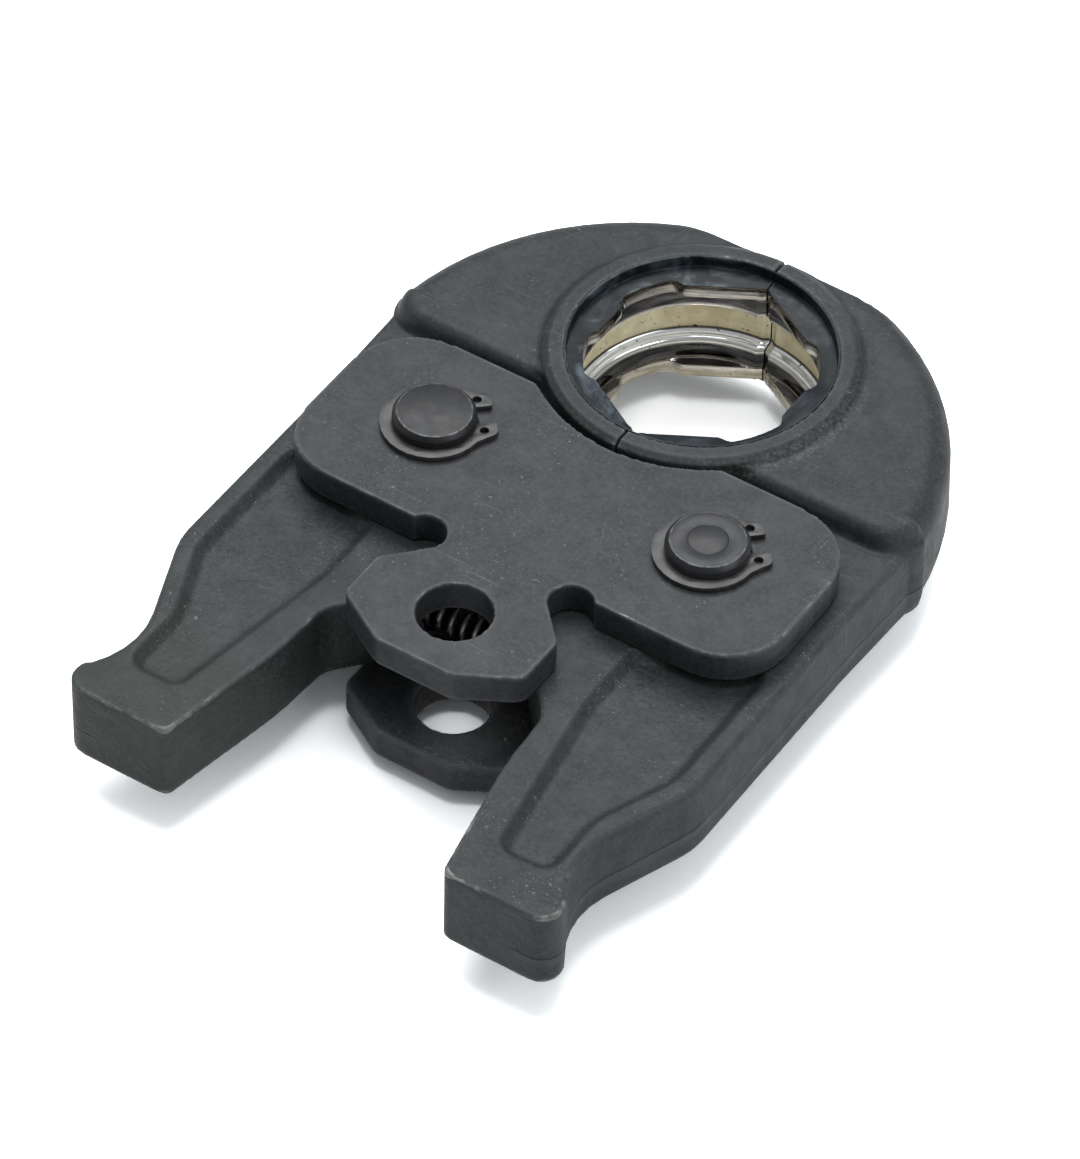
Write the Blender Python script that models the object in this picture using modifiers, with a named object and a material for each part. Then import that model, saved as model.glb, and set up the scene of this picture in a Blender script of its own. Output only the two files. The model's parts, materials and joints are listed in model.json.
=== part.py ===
"""Press fitting tool jaw: two forged arms on pivot pins between two side plates.

Sizes are metres. The outlines are drawn in the jaw's own plane, with the tool bolt's axis
at x = y = 0, the pressing head towards +Y and the mid-plane at z = 0. Every object is then
set down so that the centre of the jaw's base is the world origin.
"""

from math import acos, asin, atan2, ceil, cos, degrees, hypot, pi, radians, sin, sqrt, tan

import bmesh
import bpy
from mathutils import Matrix, Vector

PARTS_NAME = "press_fitting_tool_jaw"
CUTTERS_NAME = "cutters"

# Pivots and the tool bolt
BOLT_HOLE_DIAMETER = 0.0144
PIN_DIAMETER = 0.016
PIN_SPACING = 0.0604
PIN_FROM_BOLT = 0.0385
PIN_LENGTH = 0.0386
PIN_CHAMFER = 0.0009
PIN_CLEARANCE = 0.0002

# Side plates
PLATE_THICKNESS = 0.0065
PLATE_GAP = 0.018
PLATE_HALF_WIDTH = 0.0529
PLATE_TOP = 0.0585
PLATE_BOTTOM = 0.0163
PLATE_TOP_CORNER = 0.014
PLATE_BOTTOM_CORNER = 0.013
PLATE_EDGE = 0.00025
RING_TO_PLATE = 0.0026
CUTOUT_CORNER = 0.0015
LOBE_HALF_WIDTH = 0.0198
LOBE_FRONT = 0.0136
LOBE_FRONT_HALF = 0.0084
LOBE_CHAMFER_ANGLE = 30.0
LOBE_SHOULDER = 0.0042
LOBE_CORNER = 0.003
SLOT_END_RADIUS = 0.0043
SLOT_END_X = 0.0162
SLOT_END_Y = 0.014
SLOT_SHOULDER_ANGLE = 225.0

# Retaining rings in the pins' grooves
CLIP_THICKNESS = 0.001
CLIP_GAP = 0.0002
CLIP_BACK_WIDTH = 0.0028
CLIP_ECCENTRICITY = 0.00035
CLIP_OPENING = 0.0044
CLIP_LUG_REACH = 0.0114
CLIP_LUG_WIDTH = 0.004
CLIP_LUG_CORNER = 0.0009
CLIP_HOLE_DIAMETER = 0.0019
CLIP_HOLE_RADIUS = 0.0097
CLIP_TURN = 43.0
GROOVE_DEPTH = 0.0006
GROOVE_PLAY = 0.0002

# Arms: legs
ARM_TO_PLATE = 0.0003
ARM_HALF_WIDTH = 0.0569
ARM_DRAFT = 1.5
ARM_EDGE = 0.0012
ARM_INNER_EDGE = 0.0004
SHOULDER_FLARE = 0.0008
SHOULDER_FOOT = 0.044
SHOULDER_RADIUS = 0.04
PARTING_HEIGHT = -0.002
SPLIT_GAP = 0.0003
SPLIT_FOOT = 0.041
RELIEF_ANGLE = 19.0
THROAT_FOOT = 0.007
THROAT_CORNER = 0.003
CAM_TOP_X = 0.0241
CAM_TOP_Y = -0.0074
CAM_TOP_RADIUS = 0.007
CAM_WAIST_X = 0.0248
CAM_WAIST_Y = -0.0207
CAM_WAIST_RADIUS = 0.04
FOOT_END = -0.0491
FOOT_INNER_X = 0.0300
FOOT_INNER_RADIUS = 0.002
FOOT_OUTER_X = 0.0568
FOOT_OUTER_RADIUS = 0.0042
WAIST_X = 0.0463
WAIST_Y = -0.0341
WAIST_RADIUS = 0.018
HIP_Y = -0.0067
HIP_RADIUS = 0.015

# Arms: pockets in the legs
POCKET_DEPTH = 0.0019
POCKET_SLOPE_WIDTH = 0.003
POCKET_RIM = 0.0048
POCKET_TOP = 0.0261
POCKET_TOP_INNER_X = 0.0292
POCKET_TOP_INNER_Y = 0.0155
POCKET_INNER_X = 0.0292
POCKET_INNER_Y = 0.0
POCKET_END = -0.0380
POCKET_END_INNER_X = 0.0353
POCKET_END_OUTER_X = 0.0454
POCKET_OUTER_X = 0.0454
POCKET_OUTER_Y = -0.0232
POCKET_CORNER = 0.003

# Arms: head, raised ring and press contour
OPENING_FROM_BOLT = 0.0845
HEAD_THICKNESS = 0.026
HEAD_CENTRE = 0.0629
HEAD_RADIUS = 0.0585
HEAD_DRAFT = 2.0
HEAD_EDGE = 0.0052
HEAD_UNDER_EDGE = 0.009
STEP_FROM_BOLT = 0.0625
STEP_CORNER = 0.008
STEP_EDGE = 0.0018
STEP_FILLET = 0.0016
NOSE_REACH_LEFT = 0.1150
NOSE_REACH_RIGHT = 0.1156
RING_THICKNESS = 0.0296
RING_RADIUS = 0.03035
RING_EDGE = 0.0005
RING_SLOPE_WIDTH = 0.0013
RING_SLOPE_HEIGHT = 0.0009
RING_FILLET = 0.0014
MOUTH_RADIUS = 0.0258
MOUTH_DEPTH = 0.0024
MOUTH_FALL = 0.0004
LAND_FLAT_RADIUS = 0.0205
LAND_CORNER_RADIUS = 0.0225
LAND_WIDTH = 0.0034
LAND_FLAT_HALF_ANGLE = 11.0
LAND_CORNER_HALF_ANGLE = 12.5
LAND_RELIEF = 0.0003
RIDGE_RADIUS = 0.02445
RIDGE_WIDTH = 0.0021
SEAT_RADIUS = 0.0255
SEAT_WIDTH = 0.008
SEAT_SLOPE = 0.0003
SPLIT_EDGE_WIDTH = 0.0013
SPLIT_EDGE_DEPTH = 0.0010

# Return spring between the arms
SPRING_DIAMETER = 0.0100
SPRING_WIRE = 0.0013
SPRING_PITCH = 0.0026
SPRING_FROM_BOLT = 0.013
SPRING_POCKET_DEPTH = 0.0095
SPRING_CLEARANCE = 0.0004

# Fineness of round stretches
ARC_STEP = 12.0
FINE_ARC_STEP = 5.0
ROUND_SIDES = 36
RING_SIDES = 72
LEVEL_GAP = 0.00015
SPRING_TURN_POINTS = 10
OVERCUT = 0.004

PLATE_INNER = PLATE_GAP / 2
PLATE_OUTER = PLATE_INNER + PLATE_THICKNESS
LEG_HALF = PLATE_INNER - ARM_TO_PLATE
HEAD_HALF = HEAD_THICKNESS / 2
RING_HALF = RING_THICKNESS / 2
PIN_X = PIN_SPACING / 2
PIN_RADIUS = PIN_DIAMETER / 2
CLIP_INNER_RADIUS = PIN_RADIUS - GROOVE_DEPTH + GROOVE_PLAY
NOSE_REACH = max(NOSE_REACH_LEFT, NOSE_REACH_RIGHT)
BASE_TO_JAW = Vector((0, -(NOSE_REACH + FOOT_END) / 2, PIN_LENGTH / 2))


def clear_scene():
    """Removes whatever the file opened with."""
    for item in list(bpy.data.objects):
        bpy.data.objects.remove(item)


def make_collection(name):
    collection = bpy.data.collections.new(name)
    bpy.context.scene.collection.children.link(collection)
    return collection


def make_material(name, colour, roughness, metallic):
    material = bpy.data.materials.new(name)
    material.use_nodes = True
    shader = material.node_tree.nodes["Principled BSDF"]
    shader.inputs["Base Color"].default_value = (*colour, 1)
    shader.inputs["Roughness"].default_value = roughness
    shader.inputs["Metallic"].default_value = metallic
    return material


def link_mesh(name, mesh, collection):
    item = bpy.data.objects.new(name, mesh)
    collection.objects.link(item)
    return item


def as_cutter(item):
    item.display_type = "WIRE"
    item.hide_render = True
    return item


def evaluated_mesh(item):
    """The item's mesh with its modifiers applied, in the space of the item."""
    bpy.context.view_layer.update()
    graph = bpy.context.evaluated_depsgraph_get()
    return bpy.data.meshes.new_from_object(item.evaluated_get(graph))


def weld(mesh, distance=1e-7):
    work = bmesh.new()
    work.from_mesh(mesh)
    bmesh.ops.remove_doubles(work, verts=work.verts, dist=distance)
    bmesh.ops.recalc_face_normals(work, faces=work.faces)
    work.to_mesh(mesh)
    work.free()


def smooth_round_faces(item, angle=30.0):
    item.data.shade_smooth()
    item.data.set_sharp_from_angle(angle=radians(angle))


def arc(centre, radius, start, end, step=ARC_STEP):
    """Points on an arc, from the start angle to the end angle in degrees."""
    count = max(1, ceil(abs(end - start) / step))
    angles = [radians(start + (end - start) * i / count) for i in range(count + 1)]
    return [(centre[0] + radius * cos(a), centre[1] + radius * sin(a)) for a in angles]


def circle(centre, radius, sides=ROUND_SIDES):
    return arc(centre, radius, 0, 360 - 360 / sides, 360 / sides)


def fillet(before, corner, after, radius, step):
    """Points of the arc that rounds one corner."""
    corner = Vector(corner)
    back = (Vector(before) - corner).normalized()
    ahead = (Vector(after) - corner).normalized()
    half = back.angle(ahead) / 2
    centre = corner + (back + ahead).normalized() * (radius / sin(half))
    start = corner + back * (radius / tan(half)) - centre
    end = corner + ahead * (radius / tan(half)) - centre
    from_angle = degrees(atan2(start.y, start.x))
    turn = degrees(atan2(end.y, end.x)) - from_angle
    turn -= 360 * round(turn / 360)
    return arc(centre, radius, from_angle, from_angle + turn, step)


def rounded(corners, step=ARC_STEP):
    """An outline from corners (x, y, radius, weight), as points (x, y, weight)."""
    points = []
    for i, (x, y, radius, weight) in enumerate(corners):
        if not radius:
            points.append((x, y, weight))
            continue
        before = corners[i - 1][:2]
        after = corners[(i + 1) % len(corners)][:2]
        points += [(px, py, weight) for px, py in fillet(before, (x, y), after, radius, step)]
    return points


def inset(points, distances):
    """The outline moved inwards by a distance at each point."""
    moved = []
    for i, (x, y, *_) in enumerate(points):
        here = Vector((x, y))
        ahead = (Vector(points[(i + 1) % len(points)][:2]) - here).normalized()
        back = (here - Vector(points[i - 1][:2])).normalized()
        first = Vector((-back.y, back.x))
        second = Vector((-ahead.y, ahead.x))
        here += (first + second) / (1 + first.dot(second)) * distances[i]
        moved.append(here)
    return moved


def loft(name, outline, levels, collection):
    """A body of stacked outlines.

    Each level is (z, outer, inner): the outline goes in by outer where its weight is 1 and
    by inner where its weight is 0.
    """
    work = bmesh.new()
    loops = []
    for z, outer, inner in levels:
        shifts = [outer * w + inner * (1 - w) for _, _, w in outline]
        loops.append([work.verts.new((*point, z)) for point in inset(outline, shifts)])
    for low, high in zip(loops, loops[1:]):
        for i in range(len(outline)):
            j = (i + 1) % len(outline)
            work.faces.new((low[i], low[j], high[j], high[i]))
    work.faces.new(reversed(loops[0]))
    work.faces.new(loops[-1])
    mesh = bpy.data.meshes.new(name)
    work.to_mesh(mesh)
    work.free()
    return link_mesh(name, mesh, collection)


def two_sided(levels):
    """Levels given from the mid-plane up, repeated below it."""
    return [(-z, *rest) for z, *rest in reversed(levels) if z > 0] + levels


def rounding_heights(top, radius, steps):
    return [top - radius * (1 - sin(radians(90 * i / steps))) for i in range(steps + 1)]


def spaced(heights):
    """The heights from the highest down, without those that crowd the one above."""
    kept = []
    for z in sorted(heights, reverse=True):
        if not kept or kept[-1] - z >= LEVEL_GAP:
            kept.append(z)
    return kept


def edge_inset(z, top, radius):
    """How far a rounded edge has drawn the wall in at a height."""
    depth = abs(z) - (top - radius)
    return radius - sqrt(radius ** 2 - min(depth, radius) ** 2) if depth > 0 else 0.0


def draft_bulge(z, top, angle):
    """How far a forged wall stands out at a height, most at the parting line."""
    bulge = (top - PARTING_HEIGHT) * tan(radians(angle))
    if z > PARTING_HEIGHT:
        return bulge * (top - z) / (top - PARTING_HEIGHT)
    return bulge * (top + z) / (top + PARTING_HEIGHT)


def turned(name, profile, sides, collection):
    """A solid of revolution about Z, from a profile (radius, z) given top to bottom."""
    mesh = bpy.data.meshes.new(name)
    points = [(radius, 0, z) for radius, z in profile]
    mesh.from_pydata(points, [(i, i + 1) for i in range(len(points) - 1)], [])
    item = link_mesh(name, mesh, collection)
    screw = item.modifiers.new("Screw", "SCREW")
    screw.steps = sides
    screw.render_steps = sides
    screw.use_merge_vertices = True
    screw.merge_threshold = 1e-6
    item.data = evaluated_mesh(item)
    item.modifiers.clear()
    return item


def flat_solid(name, loops, thickness, collection):
    """A plate of the given thickness from closed 2D loops, the first one outermost."""
    curve = bpy.data.curves.new(name, "CURVE")
    curve.dimensions = "2D"
    curve.fill_mode = "BOTH"
    curve.extrude = thickness / 2
    for loop in loops:
        spline = curve.splines.new("POLY")
        spline.points.add(len(loop) - 1)
        for point, (x, y, *_) in zip(spline.points, loop):
            point.co = (x, y, 0, 1)
        spline.use_cyclic_u = True
    drawn = bpy.data.objects.new(name + "_outline", curve)
    collection.objects.link(drawn)
    mesh = evaluated_mesh(drawn)
    weld(mesh)
    item = link_mesh(name, mesh, collection)
    item.matrix_world = drawn.matrix_world
    bpy.data.objects.remove(drawn)
    return item


def cylinder(name, radius, depth, sides, matrix, collection):
    work = bmesh.new()
    bmesh.ops.create_cone(
        work, cap_ends=True, segments=sides, radius1=radius, radius2=radius, depth=depth, matrix=matrix
    )
    mesh = bpy.data.meshes.new(name)
    work.to_mesh(mesh)
    work.free()
    return link_mesh(name, mesh, collection)


def block(name, low, high, collection):
    """A box between two corners."""
    low, high = Vector(low), Vector(high)
    work = bmesh.new()
    place = Matrix.Translation((low + high) / 2) @ Matrix.Diagonal((*(high - low), 1))
    bmesh.ops.create_cube(work, size=1, matrix=place)
    mesh = bpy.data.meshes.new(name)
    work.to_mesh(mesh)
    work.free()
    return link_mesh(name, mesh, collection)


def combine(item, others, operation):
    """Joins other bodies to the item, or cuts them out of it."""
    for other in others:
        modifier = item.modifiers.new(other.name, "BOOLEAN")
        modifier.operation = operation
        modifier.solver = "EXACT"
        modifier.object = other


def apply_modifiers(item):
    mesh = evaluated_mesh(item)
    item.modifiers.clear()
    item.data = mesh


def leg_outline():
    """Right leg and the part of the arm between the plates, counter-clockwise."""
    slope = tan(radians(RELIEF_ANGLE))
    half_gap = SPLIT_GAP / 2
    throat_x = half_gap + (SPLIT_FOOT - THROAT_FOOT) * slope
    relief_top = SPLIT_FOOT + (OVERCUT + half_gap) / slope
    inside_head = STEP_FROM_BOLT + 2 * OVERCUT
    shoulder = (ARM_HALF_WIDTH + SHOULDER_FLARE, STEP_FROM_BOLT + STEP_CORNER * 0.6)
    inner, outer = 0, 1
    return rounded([
        (-OVERCUT, inside_head, 0, inner),
        (-OVERCUT, relief_top, 0, inner),
        (throat_x, THROAT_FOOT, THROAT_CORNER, inner),
        (CAM_TOP_X, CAM_TOP_Y, CAM_TOP_RADIUS, inner),
        (CAM_WAIST_X, CAM_WAIST_Y, CAM_WAIST_RADIUS, inner),
        (FOOT_INNER_X, FOOT_END, FOOT_INNER_RADIUS, inner),
        (FOOT_OUTER_X, FOOT_END, FOOT_OUTER_RADIUS, inner),
        (WAIST_X, WAIST_Y, WAIST_RADIUS, outer),
        (ARM_HALF_WIDTH, HIP_Y, HIP_RADIUS, outer),
        (ARM_HALF_WIDTH, SHOULDER_FOOT, SHOULDER_RADIUS, outer),
        (*shoulder, 0, outer),
        (ARM_HALF_WIDTH - OVERCUT, inside_head, 0, outer),
    ])


def leg_levels():
    """Levels of the leg: parting line, draft, and an edge rounded more on the outside."""
    above = rounding_heights(LEG_HALF, ARM_EDGE, 3) + rounding_heights(LEG_HALF, ARM_INNER_EDGE, 2)
    above = spaced(above)
    levels = []
    for z in sorted([-h for h in above] + [PARTING_HEIGHT] + above):
        outer = edge_inset(z, LEG_HALF, ARM_EDGE) - draft_bulge(z, LEG_HALF, ARM_DRAFT)
        levels.append((z, outer, edge_inset(z, LEG_HALF, ARM_INNER_EDGE)))
    return levels


def head_outline():
    """Right half of the head above the step, counter-clockwise, before the nose is cut."""
    low = degrees(asin((STEP_FROM_BOLT + STEP_CORNER - HEAD_CENTRE) / HEAD_RADIUS))
    side = arc((0, HEAD_CENTRE), HEAD_RADIUS, low, 90, FINE_ARC_STEP)
    beyond_split = -2 * HEAD_UNDER_EDGE
    return rounded([
        (beyond_split, STEP_FROM_BOLT, 0, 0),
        (side[0][0], STEP_FROM_BOLT, STEP_CORNER * 0.9, 0.5),
        *[(x, y, 0, 1) for x, y in side],
        (beyond_split, HEAD_CENTRE + HEAD_RADIUS, 0, 1),
    ])


def step_flare(z):
    """How far the root fillet of the step reaches out at a height."""
    height = abs(z) - (LEG_HALF - STEP_FILLET / 8)
    if height <= 0:
        return STEP_FILLET
    rise = STEP_FILLET - min(height, STEP_FILLET)
    return STEP_FILLET - sqrt(STEP_FILLET ** 2 - rise ** 2)


def head_levels():
    """Levels of the head: parting line, root fillet at the step, broad round outer edges."""
    root = LEG_HALF - STEP_FILLET / 8
    flare = [root + STEP_FILLET * (1 - cos(radians(turn))) for turn in (0, 30, 60, 90)]
    above = spaced(rounding_heights(HEAD_HALF, HEAD_EDGE, 6) + flare)
    below = spaced(rounding_heights(HEAD_HALF, HEAD_UNDER_EDGE, 6) + flare)
    levels = []
    for z in sorted([-h for h in below] + [PARTING_HEIGHT] + above):
        edge = HEAD_EDGE if z > PARTING_HEIGHT else HEAD_UNDER_EDGE
        outer = edge_inset(z, HEAD_HALF, edge) - draft_bulge(z, HEAD_HALF, HEAD_DRAFT)
        levels.append((z, outer, edge_inset(z, HEAD_HALF, STEP_EDGE) - step_flare(z)))
    return levels


def ring_blank(cutters):
    """Raised ring round the opening, with its root fillet above the step."""
    outline = []
    for x, y in circle((0, OPENING_FROM_BOLT), RING_RADIUS, RING_SIDES):
        on_head = y > STEP_FROM_BOLT + STEP_FILLET
        outline.append((x, y, 0 if on_head else 1))
    shoulder = RING_HALF - RING_SLOPE_HEIGHT
    root = shoulder - HEAD_HALF
    levels = [(0.0, 0.0, -RING_FILLET), (HEAD_HALF - STEP_FILLET, 0.0, -RING_FILLET)]
    for turn in (90, 60, 30, 0):
        reach = RING_FILLET * (1 - cos(radians(turn)))
        levels.append((HEAD_HALF + root * (1 - sin(radians(turn))), 0.0, -reach))
    slope_end = RING_SLOPE_WIDTH - RING_EDGE / 2
    levels.append((RING_HALF - RING_EDGE / 2, slope_end, slope_end))
    levels.append((RING_HALF, RING_SLOPE_WIDTH, RING_SLOPE_WIDTH))
    return as_cutter(loft("ring_blank", outline, two_sided(levels), cutters))


def bore_profile():
    """Half profile of the press opening, from the top rim to the mid-plane."""
    mouth = RING_HALF - MOUTH_DEPTH
    land_top = mouth - MOUTH_FALL
    land_bottom = land_top - LAND_WIDTH
    inside = LAND_FLAT_RADIUS - OVERCUT / 8
    relief = LAND_CORNER_RADIUS + LAND_RELIEF
    seat = SEAT_WIDTH / 2
    ridge = seat + RIDGE_WIDTH
    profile = [
        (0, RING_HALF + OVERCUT),
        (MOUTH_RADIUS, RING_HALF + OVERCUT),
        (MOUTH_RADIUS, mouth),
        (inside, land_top),
        (inside, land_bottom),
        (relief, land_bottom),
    ]
    for turn in (30, 60, 90):
        radius = relief + (RIDGE_RADIUS - relief) * sin(radians(turn))
        profile.append((radius, land_bottom - (land_bottom - ridge) * turn / 90))
    profile.append((RIDGE_RADIUS, seat + SEAT_SLOPE))
    profile.append((SEAT_RADIUS, seat))
    return profile


def land_outline():
    """Six flats with hollow corners between them; on the split the flats run on to the corner."""
    points = []
    flat_radius = LAND_FLAT_RADIUS / cos(radians(LAND_FLAT_HALF_ANGLE))
    hollow_start = 30 - LAND_CORNER_HALF_ANGLE
    split_start = degrees(acos(LAND_FLAT_RADIUS / LAND_CORNER_RADIUS))
    bend = (LAND_FLAT_HALF_ANGLE + hollow_start) / 2
    bend_radius = flat_radius + (LAND_CORNER_RADIUS - flat_radius) * 0.62
    for side in range(6):
        turn = 60 * side
        on_split = side % 3 == 1
        start = split_start if on_split else hollow_start
        corner = [(start + (60 - 2 * start) * i / 5, LAND_CORNER_RADIUS) for i in range(6)]
        if not on_split:
            corner = [(bend, bend_radius), *corner, (60 - bend, bend_radius)]
        spots = [(-LAND_FLAT_HALF_ANGLE, flat_radius), (LAND_FLAT_HALF_ANGLE, flat_radius), *corner]
        for angle, radius in spots:
            a = radians(turn + angle)
            points.append((radius * cos(a), radius * sin(a)))
    return points


def make_bore(cutters):
    """Cutters of the press opening: turned profile and pressing lands."""
    half = bore_profile()
    profile = half + [(r, -z) for r, z in reversed(half)]
    bore = turned("bore_cutter", profile, RING_SIDES, cutters)
    lands = flat_solid("lands_cutter", [land_outline()], RING_THICKNESS + OVERCUT, cutters)
    for item in (bore, lands):
        item.location = (0, OPENING_FROM_BOLT, 0)
        as_cutter(item)
    return bore, lands


def make_split_edges(cutters):
    """Cutters that bevel the inner edges of the split, above and below the opening."""
    start = SPLIT_GAP / 2
    half = bore_profile()[5:]
    profile = half + [(r, -z) for r, z in reversed(half)]
    widest = SEAT_RADIUS + SPLIT_EDGE_DEPTH
    items = []
    for name, way in (("split_edge_far", 1), ("split_edge_near", -1)):
        work = bmesh.new()
        loops = []
        for x, depth in ((start - SPLIT_EDGE_WIDTH, 2), (start + SPLIT_EDGE_WIDTH, 0)):
            reach = [sqrt(r * r - max(x, 0) ** 2) + depth * SPLIT_EDGE_DEPTH for r, _ in profile]
            line = [(r, z) for r, (_, z) in zip(reach, profile)]
            line += [(widest - 3 * OVERCUT / 2, profile[-1][1]), (widest - 3 * OVERCUT / 2, profile[0][1])]
            loops.append([work.verts.new((x, OPENING_FROM_BOLT + way * y, z)) for y, z in line])
        first, second = loops
        count = len(first)
        for i in range(count):
            j = (i + 1) % count
            work.faces.new((first[i], first[j], second[j], second[i]))
        work.faces.new(first)
        work.faces.new(reversed(second))
        bmesh.ops.recalc_face_normals(work, faces=work.faces)
        mesh = bpy.data.meshes.new(name)
        work.to_mesh(mesh)
        work.free()
        items.append(as_cutter(link_mesh(name, mesh, cutters)))
    return items


def make_pockets(cutters):
    """Cutters of the shallow pockets in the leg, above and below."""
    outer = ARM_HALF_WIDTH - POCKET_RIM
    outline = rounded([
        (outer, POCKET_TOP, POCKET_CORNER, 0),
        (POCKET_TOP_INNER_X + 2 * POCKET_CORNER, POCKET_TOP_INNER_Y + POCKET_CORNER, POCKET_CORNER, 0),
        (POCKET_TOP_INNER_X, POCKET_TOP_INNER_Y, POCKET_CORNER, 0),
        (POCKET_INNER_X, POCKET_INNER_Y, 4 * POCKET_CORNER, 0),
        (POCKET_END_INNER_X, POCKET_END, POCKET_CORNER, 0),
        (POCKET_END_OUTER_X, POCKET_END, POCKET_CORNER, 0),
        (POCKET_OUTER_X, POCKET_OUTER_Y, 4 * POCKET_CORNER, 0),
        (outer, HIP_Y, HIP_RADIUS / 2, 0),
    ])
    half_slope = POCKET_SLOPE_WIDTH / 2
    levels = []
    for turn in range(0, 151, 30):
        z = LEG_HALF - POCKET_DEPTH * (1 + cos(radians(turn))) / 2
        levels.append((z, half_slope * (1 - turn / 90), half_slope * (1 - turn / 90)))
    levels.append((LEG_HALF + POCKET_DEPTH / 4, -half_slope, -half_slope))
    upper = as_cutter(loft("pocket_above", outline, levels, cutters))
    below = [(-z, *rest) for z, *rest in reversed(levels)]
    lower = as_cutter(loft("pocket_below", outline, below, cutters))
    return upper, lower


def make_arm(name, nose_reach, side, parts, cutters):
    """One forged arm, drawn on the right and mirrored for the left."""
    arm = loft(name, leg_outline(), leg_levels(), parts)
    head = as_cutter(loft("head_blank", head_outline(), head_levels(), cutters))
    combine(arm, [head, ring_blank(cutters)], "UNION")
    apply_modifiers(arm)

    reach = RING_THICKNESS
    far = (-reach, nose_reach, -reach)
    nose = block("nose_cutter", far, (2 * RING_RADIUS, nose_reach + reach, reach), cutters)
    low = (-2 * RING_RADIUS, -NOSE_REACH, -reach)
    split = block("split_cutter", low, (SPLIT_GAP / 2, 2 * NOSE_REACH, reach), cutters)
    pin_place = Matrix.Translation((PIN_X, PIN_FROM_BOLT, 0))
    pin_hole = cylinder(
        "pin_hole", PIN_RADIUS + PIN_CLEARANCE, PLATE_GAP + OVERCUT, ROUND_SIDES, pin_place, cutters
    )
    mouth_x = SPLIT_GAP / 2 + (SPLIT_FOOT - SPRING_FROM_BOLT) * tan(radians(RELIEF_ANGLE))
    pocket_end = mouth_x + SPRING_POCKET_DEPTH
    spring_place = Matrix.Translation((pocket_end / 2, SPRING_FROM_BOLT, 0))
    spring_place @= Matrix.Rotation(pi / 2, 4, "Y")
    spring_radius = SPRING_DIAMETER / 2 + SPRING_CLEARANCE
    spring_hole = cylinder(
        "spring_hole", spring_radius, pocket_end, ROUND_SIDES // 2, spring_place, cutters
    )
    bore, lands = make_bore(cutters)
    tools = [nose, split, pin_hole, spring_hole, bore, lands]
    tools += make_split_edges(cutters)
    tools += make_pockets(cutters)
    for tool in tools:
        as_cutter(tool)
    combine(arm, tools, "DIFFERENCE")
    apply_modifiers(arm)

    pin = Vector((PIN_X, PIN_FROM_BOLT, 0))
    arm.data.transform(Matrix.Translation(-pin))
    if side < 0:
        arm.data.transform(Matrix.Scale(-1, 4, (1, 0, 0)))
        arm.data.flip_normals()
    arm.location = BASE_TO_JAW + Vector((side * pin.x, pin.y, 0))
    smooth_round_faces(arm)
    return arm


def plate_outline():
    """Side plate: two wings with the ring's cut-out, and the lobe for the tool bolt."""
    chamfer_rise = (LOBE_HALF_WIDTH - LOBE_FRONT_HALF) * tan(radians(LOBE_CHAMFER_ANGLE))
    drop = PLATE_BOTTOM - SLOT_END_Y
    slot_top = degrees(asin(drop / SLOT_END_RADIUS))
    slot_arc = arc((SLOT_END_X, SLOT_END_Y), SLOT_END_RADIUS, SLOT_SHOULDER_ANGLE, slot_top)
    cutout = RING_RADIUS + RING_TO_PLATE
    cutout_x = sqrt(cutout ** 2 - (OPENING_FROM_BOLT - PLATE_TOP) ** 2)
    cutout_turn = degrees(atan2(OPENING_FROM_BOLT - PLATE_TOP, cutout_x))
    cutout_arc = arc((0, OPENING_FROM_BOLT), cutout, -cutout_turn, -90, FINE_ARC_STEP)
    right = [
        (LOBE_FRONT_HALF, -LOBE_FRONT, LOBE_CORNER, 0),
        (LOBE_HALF_WIDTH, -LOBE_FRONT + chamfer_rise, LOBE_CORNER, 0),
        (LOBE_HALF_WIDTH, LOBE_SHOULDER, LOBE_CORNER, 0),
        *[(x, y, 0, 0) for x, y in slot_arc],
        (PLATE_HALF_WIDTH, PLATE_BOTTOM, PLATE_BOTTOM_CORNER, 0),
        (PLATE_HALF_WIDTH, PLATE_TOP, PLATE_TOP_CORNER, 0),
        (cutout_x, PLATE_TOP, CUTOUT_CORNER, 0),
        *[(x, y, 0, 0) for x, y in cutout_arc[1:]],
    ]
    left = [(-x, y, radius, weight) for x, y, radius, weight in reversed(right[:-1])]
    return rounded(right + left)


def make_plate(name, way, material, parts):
    pin_hole = PIN_RADIUS + PIN_CLEARANCE
    loops = [plate_outline(), circle((0, 0), BOLT_HOLE_DIAMETER / 2)]
    loops += [circle((side * PIN_X, PIN_FROM_BOLT), pin_hole) for side in (-1, 1)]
    plate = flat_solid(name, loops, PLATE_THICKNESS, parts)
    bevel = plate.modifiers.new("Edge", "BEVEL")
    bevel.width = PLATE_EDGE
    bevel.segments = 1
    bevel.limit_method = "ANGLE"
    bevel.angle_limit = radians(50)
    apply_modifiers(plate)
    plate.location = BASE_TO_JAW + Vector((0, 0, way * (PLATE_INNER + PLATE_THICKNESS / 2)))
    plate.data.materials.append(material)
    smooth_round_faces(plate)
    return plate


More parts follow.
